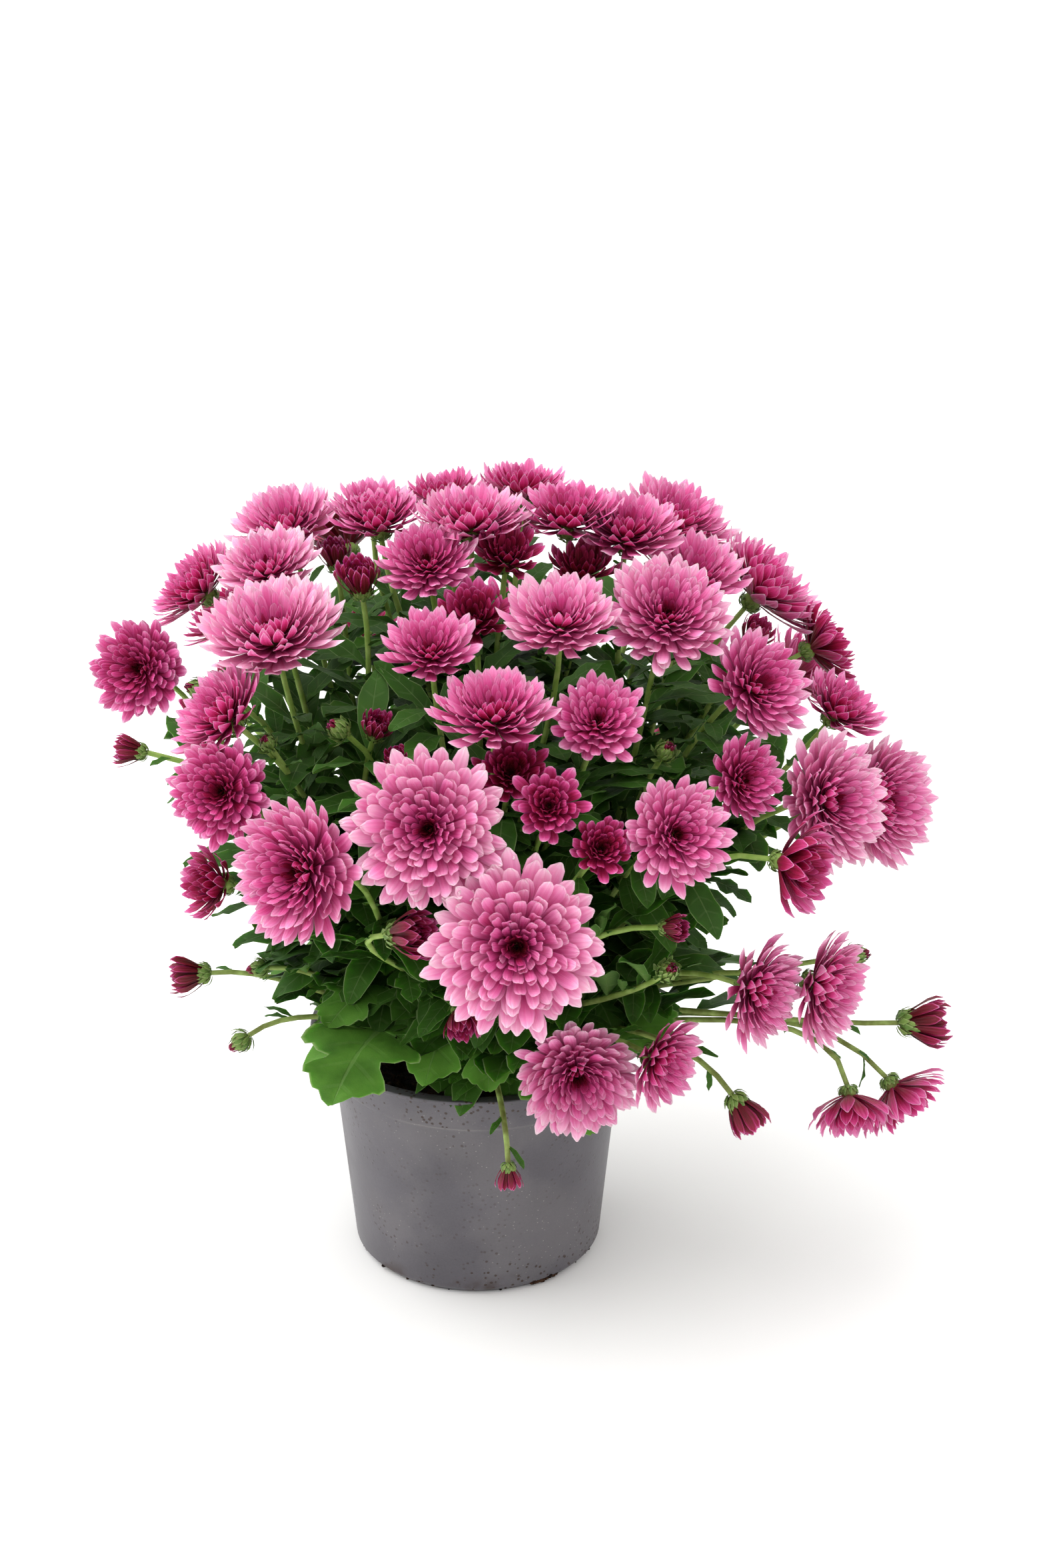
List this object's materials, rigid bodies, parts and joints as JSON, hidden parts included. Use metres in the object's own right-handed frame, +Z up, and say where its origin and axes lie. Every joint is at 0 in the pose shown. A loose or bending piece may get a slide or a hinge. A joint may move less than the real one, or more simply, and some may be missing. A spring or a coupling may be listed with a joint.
{
  "type": "pot chrysanthemum",
  "caption": "Florist's chrysanthemum in full bloom: a dome of layered pink and magenta blooms on leafy stems, in peat soil in a round plastic growing pot with a turned-out lip.",
  "frame": {"origin": "on the floor, on the axis of the pot, at the middle of its base ring", "axes": "+Z up along the pot's axis, -Y towards the side seen from the front, +X to its right"},
  "size_m": [0.3205, 0.3178, 0.3119],
  "materials": {
    "pot_plastic": "satin",
    "peat_soil": "matte",
    "foliage": "satin",
    "petals_full_blown": "matte",
    "petals_opening": "matte",
    "petals_young": "matte"
  },
  "bodies": {
    "root": {"bloom_01": "petals_opening", "bloom_02_03": "petals_opening", "bloom_04": "petals_opening", "bloom_05_06_13": "petals_opening", "bloom_07": "petals_opening", "bloom_08_09": "petals_opening", "bloom_10": "petals_opening", "bloom_11": "petals_opening", "bloom_12": "petals_opening", "bloom_14": "petals_opening", "bloom_15": "petals_opening", "bloom_16_31_32": "petals_full_blown", "bloom_19": "petals_young", "bloom_20": "petals_opening", "bloom_21": "petals_full_blown", "bloom_22": "petals_opening", "bloom_23": "petals_young", "bloom_24": "petals_opening", "bloom_25": "petals_opening", "bloom_27": "petals_opening", "bloom_28": "petals_opening", "bloom_29": "petals_opening", "bloom_30": "petals_opening", "bloom_33_34": "petals_full_blown", "bloom_35": "petals_full_blown", "bloom_36": "petals_young", "bloom_37": "petals_young", "bloom_38": "petals_young", "bloom_39_40": "petals_young", "bloom_41": "petals_opening", "bloom_42": "petals_full_blown", "bloom_43": "petals_full_blown", "bloom_44": "petals_young", "bloom_45": "petals_opening", "bloom_46": "petals_opening", "bloom_47": "petals_full_blown", "bloom_48": "petals_opening", "bloom_49_50": "petals_young", "bloom_60": "petals_opening", "bloom_61": "petals_opening", "bloom_62": "petals_young", "bloom_63": "petals_opening", "bloom_64": "petals_opening", "bloom_65": "petals_opening", "bloom_66": "petals_opening", "bloom_67": "petals_opening", "bloom_68": "petals_young", "bloom_69": "petals_young", "bloom_70": "petals_young", "leafy_stem_back": "foliage", "leafy_stem_back_left": "foliage", "leafy_stem_back_right": "foliage", "leafy_stem_centre": "foliage", "leafy_stem_front": "foliage", "leafy_stem_front_left": "foliage", "leafy_stem_front_right": "foliage", "pot": "pot_plastic", "soil": "peat_soil"}
  },
  "joints": []
}
